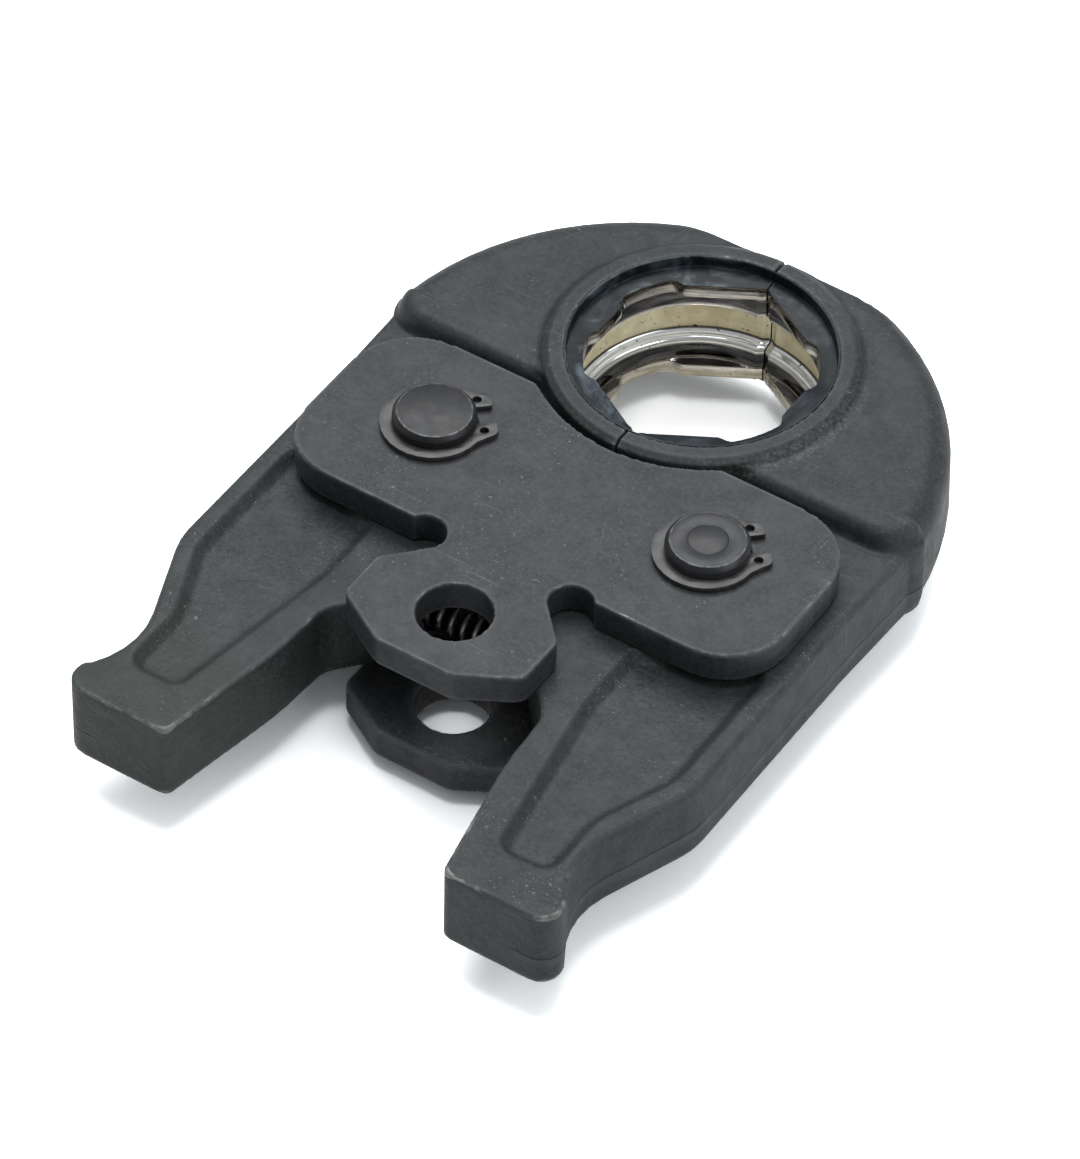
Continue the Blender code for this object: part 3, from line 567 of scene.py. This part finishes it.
split_edge_height = 0.0121
thinnest_wall = 0.0001
turns_at_split = (0.0, 0.25, 0.6, 1.1, 1.8, 2.4, 3.0, 3.4, 3.9)
even_turns_start = 5
even_turns = 171
bead_groove_half_height = 0.0030
bead_groove_edge = 0.0032
ridge_level = 0.0041
round_wall_level = 0.0070
land_level = 0.0111
rim_dark = (0.0080, 0.0100, 0.0125)
# Painted reflection: the grey-blue sheen laid on the blued rim.
rim_painted_sheen = (0.150, 0.185, 0.210)
rim_rust = (0.060, 0.047, 0.036)
rim_grain_depth = 0.00002
gold_dark = (0.70, 0.60, 0.37)
gold_light = (0.95, 0.87, 0.62)
plating_dark = (0.34, 0.315, 0.28)
plating_light = (0.66, 0.62, 0.55)
# Painted reflections: the land, wall, cream and ridge colours; painted shade: the groove line.
painted_land_dark = (0.085, 0.078, 0.070)
painted_land_light = (0.30, 0.28, 0.25)
painted_wall_dark = (0.022, 0.022, 0.024)
painted_wall_light = (0.11, 0.105, 0.10)
painted_cream_dark = (0.50, 0.45, 0.33)
painted_cream_light = (0.88, 0.81, 0.62)
painted_ridge_highlight = (0.92, 0.92, 0.91)
painted_groove_shade = (0.05, 0.045, 0.04)
stain_colour = (0.12, 0.095, 0.065)
spot_colour = (0.02, 0.02, 0.02)
turning_depth = 0.000010


def land_radius(turn):
    """Radius of the pressing lands, at a turn in degrees from the right.

    The flats lie at 0, 60, ... degrees, with hollow corners between them. Beside the split the
    flats run on almost to the corner.
    """
    off = abs((turn + 30) % 60 - 30)
    if abs(abs(turn) - 90) < 30:
        return min(land_flat_radius / cos(radians(off)), land_corner_radius + split_corner_step)
    flat = land_flat_radius / cos(radians(min(off, land_flat_half_turn)))
    share = min(max((off - corner_start) / corner_blend, 0), 1)
    share = share * share * (3 - 2 * share)
    return flat * (1 - share) + land_corner_radius * share


def contour_lining(name, side):
    """One half of the contour as a closed shell, from the split round to the split."""
    rows = list(contour_profile)
    rows += [(radius, from_flats, -z) for radius, from_flats, z in reversed(rows)]
    start = -90 + np.degrees(split_half_gap / lining_radius)
    turns = [start + t for t in turns_at_split]
    turns += list(np.linspace(start + even_turns_start, -start - even_turns_start, even_turns))
    turns += [-start - t for t in reversed(turns_at_split)]
    work = bmesh.new()
    grid = []
    for turn in turns:
        away = min(turn + 90, 90 - turn)
        line = []
        for radius, from_flats, z in rows:
            r = land_radius(turn) + radius if from_flats else radius
            gone = 1 - min(radians(away) * r / split_edge_width, 1)
            if abs(z) < split_edge_height:
                r = min(r + gone * split_edge_depth, lining_radius - thinnest_wall)
            x = max(r * cos(radians(turn)), split_half_gap)
            line.append(work.verts.new(bore_centre + Vector((side * x, r * sin(radians(turn)), z))))
        top, bottom = rows[0][2], rows[-1][2]
        x = max(lining_radius * cos(radians(turn)), split_half_gap)
        y = lining_radius * sin(radians(turn))
        line.append(work.verts.new(bore_centre + Vector((side * x, y, bottom))))
        line.append(work.verts.new(bore_centre + Vector((side * x, y, top))))
        grid.append(line)
    count = len(grid[0])
    plated_rows = range(rim_rows, len(rows) - 1 - rim_rows)
    for one, two in zip(grid, grid[1:]):
        for i in range(count):
            j = (i + 1) % count
            face = work.faces.new((one[i], one[j], two[j], two[i]))
            face.material_index = 1 if i in plated_rows else 0
    work.faces.new(grid[0])
    work.faces.new(reversed(grid[-1]))
    bmesh.ops.remove_doubles(work, verts=work.verts, dist=1e-6)
    bmesh.ops.recalc_face_normals(work, faces=work.faces)
    mesh = bpy.data.meshes.new(name)
    work.to_mesh(mesh)
    work.free()
    mesh.shade_smooth()
    mesh.set_sharp_from_angle(angle=radians(32))
    return new_piece(name, mesh)


def uneven_roughness(tree, shader, place, scale, detail, smoothest, roughest):
    """Roughness that varies over the surface in patches."""
    rough = ramp(tree, noise(tree, place, scale, detail), 0.3, 0.7, smoothest, roughest)
    tree.links.new(rough, shader.inputs["Roughness"])


def blued_rim(name):
    """Turned rim above the contour, blued black, with a painted grey-blue sheen in stripes."""
    material, tree, output = new_material(name)
    shader = add_node(
        tree, "ShaderNodeBsdfPrincipled", {"Metallic": 0.0, "IOR": 1.5, "Specular IOR Level": 0.16},
    )
    place = tree.nodes.new("ShaderNodeTexCoord").outputs["Object"]
    radius, turn = round_the_bore(tree, place)
    streak_place = tree.nodes.new("ShaderNodeCombineXYZ")
    tree.links.new(multiplied(tree, radius, 420.0), streak_place.inputs[0])
    tree.links.new(multiplied(tree, turn, 1.6), streak_place.inputs[1])
    streaks = ramp(tree, noise(tree, streak_place.outputs[0], 1.0, 4.0, 0.6), 0.42, 0.66)
    cloud = ramp(tree, noise(tree, place, 90.0, 6.0, 0.68, 0.8), 0.42, 0.62)
    # Painted reflection: the grey-blue sheen runs in stripes and fades from left to right.
    painted_sheen_side = ramp(tree, along_axis(tree, place, "X"), -0.012, 0.012, 1.0, 0.3)
    painted_sheen_mask = multiplied(tree, streaks, cloud, painted_sheen_side)
    colour = blend_colour(tree, painted_sheen_mask, rim_dark, rim_painted_sheen)
    rust = ramp(tree, noise(tree, place, 330.0, 5.0, 0.7), 0.63, 0.76, 0.0, 0.35)
    colour = blend_colour(tree, rust, colour, rim_rust)
    tree.links.new(colour, shader.inputs["Base Color"])
    uneven_roughness(tree, shader, place, 300.0, 4.0, 0.26, 0.46)
    add_bump(tree, shader, noise(tree, place, 1800.0, 3.0), rim_grain_depth)
    tree.links.new(shader.outputs[0], output.inputs[0])
    return material


def bright_contour(name):
    """Plated working surface: mirror bright, matt gold in the groove, with stains and pits.

    Reflections are painted in bands by height: a darker upper land and round wall, a white
    ridge, a cream lower land, light and dark stripes up the wall, and painted shade as a dark
    line along the groove's edges.
    """
    material, tree, output = new_material(name)
    shader = add_node(tree, "ShaderNodeBsdfPrincipled", {"IOR": 1.5})
    place = tree.nodes.new("ShaderNodeTexCoord").outputs["Object"]
    level = arithmetic(tree, "SUBTRACT", along_axis(tree, place, "Z"), jaw_zero.z)
    off_middle = arithmetic(tree, "ABSOLUTE", level)
    groove = band(tree, level, 0.0, bead_groove_half_height, 0.0003)
    groove_line = band(tree, off_middle, bead_groove_edge, 0.00012, 0.0002)
    ridge = band(tree, off_middle, ridge_level, 0.0006, 0.0005)
    wall = band(tree, off_middle, round_wall_level, 0.0014, 0.0006)
    haze = ramp(tree, noise(tree, place, 170.0, 4.0, 0.6), 0.35, 0.7)
    _, turn = round_the_bore(tree, place)
    # Painted reflections: light and dark stripes up the plated wall.
    streak_place = tree.nodes.new("ShaderNodeCombineXYZ")
    tree.links.new(multiplied(tree, turn, 3.0), streak_place.inputs[0])
    tree.links.new(multiplied(tree, level, 900.0), streak_place.inputs[1])
    streaks = ramp(tree, noise(tree, streak_place.outputs[0], 1.0, 4.0, 0.6), 0.38, 0.66)
    gold = blend_colour(tree, haze, gold_dark, gold_light)
    # Painted reflections: a darker upper land and round wall, a cream lower land and a white ridge.
    land = band(tree, off_middle, land_level, 0.0008, 0.0004)
    colour = blend_colour(tree, streaks, plating_dark, plating_light)
    streaked_land = blend_colour(tree, streaks, painted_land_dark, painted_land_light)
    colour = blend_colour(tree, land, colour, streaked_land)
    streaked_wall = blend_colour(tree, streaks, painted_wall_dark, painted_wall_light)
    colour = blend_colour(tree, wall, colour, streaked_wall)
    low_land = band(tree, level, -land_level, 0.0009, 0.0003)
    cream = blend_colour(tree, streaks, painted_cream_dark, painted_cream_light)
    colour = blend_colour(tree, low_land, colour, cream)
    colour = blend_colour(tree, ridge, colour, painted_ridge_highlight)
    colour = blend_colour(tree, groove, colour, gold)
    # Painted shade: a dark line along the edges of the groove.
    colour = blend_colour(tree, multiplied(tree, groove_line, 0.8), colour, painted_groove_shade)
    stain = ramp(tree, noise(tree, place, 480.0, 5.0, 0.72), 0.60, 0.74, 0.0, 0.75)
    colour = blend_colour(tree, stain, colour, stain_colour)
    spot = ramp(tree, noise(tree, place, 1500.0, 1.0), 0.71, 0.76)
    colour = blend_colour(tree, spot, colour, spot_colour)
    tree.links.new(colour, shader.inputs["Base Color"])
    matt = arithmetic(tree, "MAXIMUM", groove, multiplied(tree, ridge, 0.6))
    matt = arithmetic(tree, "MAXIMUM", matt, multiplied(tree, low_land, 0.6))
    metal = ramp(tree, matt, 0.0, 1.0, 1.0, 0.5)
    tree.links.new(metal, shader.inputs["Metallic"])
    rough = ramp(tree, noise(tree, place, 260.0, 3.0), 0.3, 0.7, 0.06, 0.14)
    rough = arithmetic(tree, "ADD", rough, multiplied(tree, groove, 0.38))
    tree.links.new(rough, shader.inputs["Roughness"])
    turning = noise(tree, stretched(tree, place, (60.0, 60.0, 2600.0), 0.0), 1.0, 2.0)
    add_bump(tree, shader, turning, turning_depth)
    tree.links.new(shader.outputs[0], output.inputs[0])
    return material


rim_black = blued_rim("blued_rim")
plated = bright_contour("plated_contour")
for hand, side in hands:
    lining = contour_lining(hand + "_press_contour", side)
    lining.data.materials.append(rim_black)
    lining.data.materials.append(plated)
    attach(lining, body_of_node[hand + "_arm"])
    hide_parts(hand + "_arm")


# Return spring
# A compression spring across the jaw that pushes the legs apart and so keeps the head closed.
# It sits in a blind hole in each arm, and is wound as two halves from its middle.
spring_y = 0.013
spring_radius = 0.00435
spring_wire = 0.00065
spring_half = 0.0182
spring_pitch = 0.0026
steps_per_coil = 32
wire_sides = 14
wire_dark = (0.10, 0.09, 0.085)
wire_light = (0.22, 0.20, 0.18)


def oiled_wire(name):
    """Dark spring wire with a film of oil."""
    material, tree, output = new_material(name)
    shader = add_node(tree, "ShaderNodeBsdfPrincipled", {"Metallic": 0.9, "IOR": 1.5})
    place = tree.nodes.new("ShaderNodeTexCoord").outputs["Object"]
    cloud = ramp(tree, noise(tree, place, 500.0, 3.0), 0.35, 0.7)
    colour = blend_colour(tree, cloud, wire_dark, wire_light)
    tree.links.new(colour, shader.inputs["Base Color"])
    uneven_roughness(tree, shader, place, 900.0, 2.0, 0.25, 0.42)
    tree.links.new(shader.outputs[0], output.inputs[0])
    return material


def coil_tree(name):
    """Geometry nodes that wind a round wire along +X, from the middle of the spring."""
    tree = bpy.data.node_groups.new(name, "GeometryNodeTree")
    for socket in ("Coil radius", "Wire radius", "Length", "Pitch"):
        tree.interface.new_socket(socket, in_out="INPUT", socket_type="NodeSocketFloat")
    tree.interface.new_socket("Material", in_out="INPUT", socket_type="NodeSocketMaterial")
    tree.interface.new_socket("Turn", in_out="INPUT", socket_type="NodeSocketVector")
    tree.interface.new_socket("Middle", in_out="INPUT", socket_type="NodeSocketVector")
    tree.interface.new_socket("Geometry", in_out="OUTPUT", socket_type="NodeSocketGeometry")
    given = tree.nodes.new("NodeGroupInput").outputs
    result = tree.nodes.new("NodeGroupOutput")
    turns = arithmetic(tree, "DIVIDE", given["Length"], given["Pitch"])
    spiral = add_node(tree, "GeometryNodeCurveSpiral", {"Resolution": steps_per_coil})
    tree.links.new(turns, spiral.inputs["Rotations"])
    tree.links.new(given["Coil radius"], spiral.inputs["Start Radius"])
    tree.links.new(given["Coil radius"], spiral.inputs["End Radius"])
    tree.links.new(given["Length"], spiral.inputs["Height"])
    wire = add_node(tree, "GeometryNodeCurvePrimitiveCircle", {"Resolution": wire_sides})
    tree.links.new(given["Wire radius"], wire.inputs["Radius"])
    swept = add_node(tree, "GeometryNodeCurveToMesh", {"Fill Caps": True})
    tree.links.new(spiral.outputs[0], swept.inputs["Curve"])
    tree.links.new(wire.outputs[0], swept.inputs["Profile Curve"])
    laid = tree.nodes.new("GeometryNodeTransform")
    tree.links.new(swept.outputs[0], laid.inputs["Geometry"])
    tree.links.new(given["Turn"], laid.inputs["Rotation"])
    tree.links.new(given["Middle"], laid.inputs["Translation"])
    real = tree.nodes.new("GeometryNodeRealizeInstances")
    tree.links.new(laid.outputs[0], real.inputs[0])
    coated = tree.nodes.new("GeometryNodeSetMaterial")
    tree.links.new(real.outputs[0], coated.inputs["Geometry"])
    tree.links.new(given["Material"], coated.inputs["Material"])
    tree.links.new(coated.outputs[0], result.inputs[0])
    return tree


def grown(name, tree, values):
    """A plain mesh made by a node tree from its named inputs."""
    holder = new_piece("holder", bpy.data.meshes.new("holder"))
    modifier = holder.modifiers.new("Nodes", "NODES")
    modifier.node_group = tree
    for socket in tree.interface.items_tree:
        if socket.in_out == "INPUT":
            modifier[socket.identifier] = values[socket.name]
    piece = new_piece(name, plain_mesh(holder))
    bpy.data.objects.remove(holder)
    return piece


wire_finish = oiled_wire("oiled_spring_wire")
coils = coil_tree("return_spring_coil")
spring_middle = jaw_zero + Vector((0, spring_y, 0))
lay_along_x = Matrix(((0, 0, 1), (1, 0, 0), (0, 1, 0)))
for hand, side in hands:
    turn = lay_along_x if side > 0 else Matrix.Rotation(pi, 3, "Y") @ lay_along_x
    coil = grown(hand + "_return_spring_half", coils, {
        "Coil radius": spring_radius, "Wire radius": spring_wire, "Length": spring_half,
        "Pitch": spring_pitch, "Material": wire_finish, "Turn": tuple(turn.to_euler()),
        "Middle": tuple(spring_middle),
    })
    coil.data.shade_smooth()
    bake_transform(coil)
    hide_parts("return_spring")


# Side plates
# Two equal plates of blackened steel, cut from 6.5 mm stock with the edges broken. They hold
# the pivot pins, and their lobes hang on the press tool's bolt.
plate_dark = (0.0185, 0.0195, 0.0215)
plate_light = (0.0260, 0.0270, 0.0290)
plate_rubbed = (0.30, 0.295, 0.285)
plate_voxel = 0.0004
plate_smoothing = 3
plate_black = blackened_finish(
    "blackened_plate", plate_dark, plate_light, plate_rubbed,
    roughness=0.43, scratches=0.38, wear_start=0.62,
)
for level in ("upper", "lower"):
    node = level + "_side_plate"
    plate = merged_copy(node + "_dressed", node)
    softened(node + "_dressed", plate, plate_voxel, plate_smoothing)
    plate.data.materials.clear()
    plate.data.materials.append(plate_black)
    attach(plate, body_of_node[node])
    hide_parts(node)


# Pivot pins
# Plain turned pins, 16 mm thick and blued, with a chamfer and a ring groove at each end. They go
# through both plates, and each arm turns on one of them.
pin_x = 0.0302
pin_y = 0.0385
pin_end = 0.0193
pin_radius = 0.008
groove_radius = 0.0074
groove_low = 0.0155
groove_high = 0.0169
pin_sides = 96
pin_dark = (0.017, 0.0175, 0.020)
pin_light = (0.026, 0.0265, 0.029)
left_pin_shade = 0.62
pin_stain = (0.045, 0.038, 0.036)
worn_rim_colour = (0.13, 0.13, 0.135)
lathe_ring_depth = 0.000016
worn_rim_radius = 0.00712
# radius and depth below the end, from the middle outwards
turning_mark = ((0.0036, 0), (0.0038, 0.0001), (0.0040, 0))
end_chamfer = ((0.0070, 0), (0.0072, 0.00006), (0.00796, 0.00082), (pin_radius, 0.00095))


def turned_piece(name, profile, centre, sides):
    """A solid turned about an upright axis, from a profile that starts and ends on it."""
    work = bmesh.new()
    rings = []
    angles = [2 * pi * i / sides for i in range(sides)]
    for radius, z in profile:
        if radius == 0:
            rings.append([work.verts.new(centre + Vector((0, 0, z)))])
            continue
        rings.append([
            work.verts.new(centre + Vector((radius * cos(a), radius * sin(a), z))) for a in angles
        ])
    for one, two in zip(rings, rings[1:]):
        for i in range(sides):
            j = (i + 1) % sides
            corners = [one[i % len(one)], two[i % len(two)], two[j % len(two)], one[j % len(one)]]
            work.faces.new(list(dict.fromkeys(corners)))
    bmesh.ops.recalc_face_normals(work, faces=work.faces)
    mesh = bpy.data.meshes.new(name)
    work.to_mesh(mesh)
    work.free()
    mesh.shade_smooth()
    mesh.set_sharp_from_angle(angle=radians(28))
    return new_piece(name, mesh)


def turned_finish(name, centre, dark, light):
    """Blued turned steel with the lathe's rings on the end faces and a worn chamfer."""
    material, tree, output = new_material(name)
    shader = add_node(
        tree, "ShaderNodeBsdfPrincipled", {"Metallic": 0.15, "IOR": 1.5, "Specular IOR Level": 0.3},
    )
    place = tree.nodes.new("ShaderNodeTexCoord").outputs["Object"]
    move = add_node(tree, "ShaderNodeMapping", {"Location": (-centre.x, -centre.y, 0)})
    tree.links.new(place, move.inputs["Vector"])
    flat = add_node(tree, "ShaderNodeVectorMath", {1: (1, 1, 0)}, operation="MULTIPLY")
    tree.links.new(move.outputs[0], flat.inputs[0])
    distance = add_node(tree, "ShaderNodeVectorMath", operation="LENGTH")
    tree.links.new(flat.outputs[0], distance.inputs[0])
    ring_field = add_node(
        tree, "ShaderNodeTexNoise", {"Scale": 3400.0, "Detail": 3.0}, noise_dimensions="1D",
    )
    tree.links.new(distance.outputs["Value"], ring_field.inputs["W"])
    rings = ring_field.outputs["Fac"]
    colour = blend_colour(tree, ramp(tree, rings, 0.3, 0.7), dark, light)
    stain = ramp(tree, noise(tree, place, 190.0, 5.0, 0.6), 0.50, 0.72, 0.0, 0.55)
    colour = blend_colour(tree, stain, colour, pin_stain)
    chips = ramp(tree, noise(tree, place, 700.0, 4.0, 0.7), 0.42, 0.58, 0.1, 0.8)
    rim = band(tree, distance.outputs["Value"], worn_rim_radius, 0.00010, 0.00012)
    rim = multiplied(tree, rim, chips)
    colour = blend_colour(tree, rim, colour, worn_rim_colour)
    tree.links.new(colour, shader.inputs["Base Color"])
    uneven_roughness(tree, shader, place, 420.0, 3.0, 0.28, 0.42)
    add_bump(tree, shader, rings, lathe_ring_depth)
    tree.links.new(shader.outputs[0], output.inputs[0])
    return material


for hand, side in hands:
    centre = jaw_zero + Vector((side * pin_x, pin_y, 0))
    end_rows = [(0, 0)]
    if side > 0:
        end_rows += turning_mark
    end_rows += end_chamfer
    upper = [(radius, pin_end - depth) for radius, depth in end_rows]
    upper += [
        (pin_radius, groove_high), (groove_radius, groove_high),
        (groove_radius, groove_low), (pin_radius, groove_low),
    ]
    profile = upper + [(r, -z) for r, z in reversed(upper)]
    pin = turned_piece(hand + "_pivot_pin_turned", profile, centre, pin_sides)
    shade = left_pin_shade if side < 0 else 1.0
    dark = tuple(shade * c for c in pin_dark)
    light = tuple(shade * c for c in pin_light)
    pin.data.materials.append(turned_finish(hand + "_blued_pin", centre, dark, light))
    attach(pin, body_of_node[hand + "_pivot_pin"])
    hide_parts(hand + "_pivot_pin")


# Retaining rings
# Stamped rings of spring steel, snapped into the grooves near both ends of each pin so that it
# can't slide out of the plates. Each lug has a hole for the pliers.
ring_dark = (0.038, 0.0375, 0.037)
ring_light = (0.068, 0.067, 0.066)
ring_grain_depth = 0.00002
ring_edge = 0.00012
ring_edge_steps = 2


def stamped_finish(name):
    """Grey spring steel with a fine grain."""
    material, tree, output = new_material(name)
    shader = add_node(
        tree, "ShaderNodeBsdfPrincipled", {"Metallic": 0.35, "IOR": 1.5, "Specular IOR Level": 0.4},
    )
    place = tree.nodes.new("ShaderNodeTexCoord").outputs["Object"]
    cloud = ramp(tree, noise(tree, place, 350.0, 4.0, 0.6), 0.35, 0.65)
    colour = blend_colour(tree, cloud, ring_dark, ring_light)
    tree.links.new(colour, shader.inputs["Base Color"])
    uneven_roughness(tree, shader, place, 700.0, 3.0, 0.3, 0.48)
    add_bump(tree, shader, noise(tree, place, 2500.0, 2.0), ring_grain_depth)
    tree.links.new(shader.outputs[0], output.inputs[0])
    return material


ring_steel = stamped_finish("stamped_ring_steel")
for level in ("upper", "lower"):
    for hand, side in hands:
        node = level + "_" + hand + "_circlip"
        clip = merged_copy(node + "_dressed", node)
        edge = clip.modifiers.new("Edge", "BEVEL")
        edge.width = ring_edge
        edge.segments = ring_edge_steps
        edge.limit_method = "ANGLE"
        edge.angle_limit = radians(50)
        mesh = plain_mesh(clip)
        clip.modifiers.clear()
        clip.data = mesh
        mesh.shade_smooth()
        mesh.set_sharp_from_angle(angle=radians(35))
        mesh.materials.clear()
        mesh.materials.append(ring_steel)
        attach(clip, body_of_node[node])
        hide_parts(node)
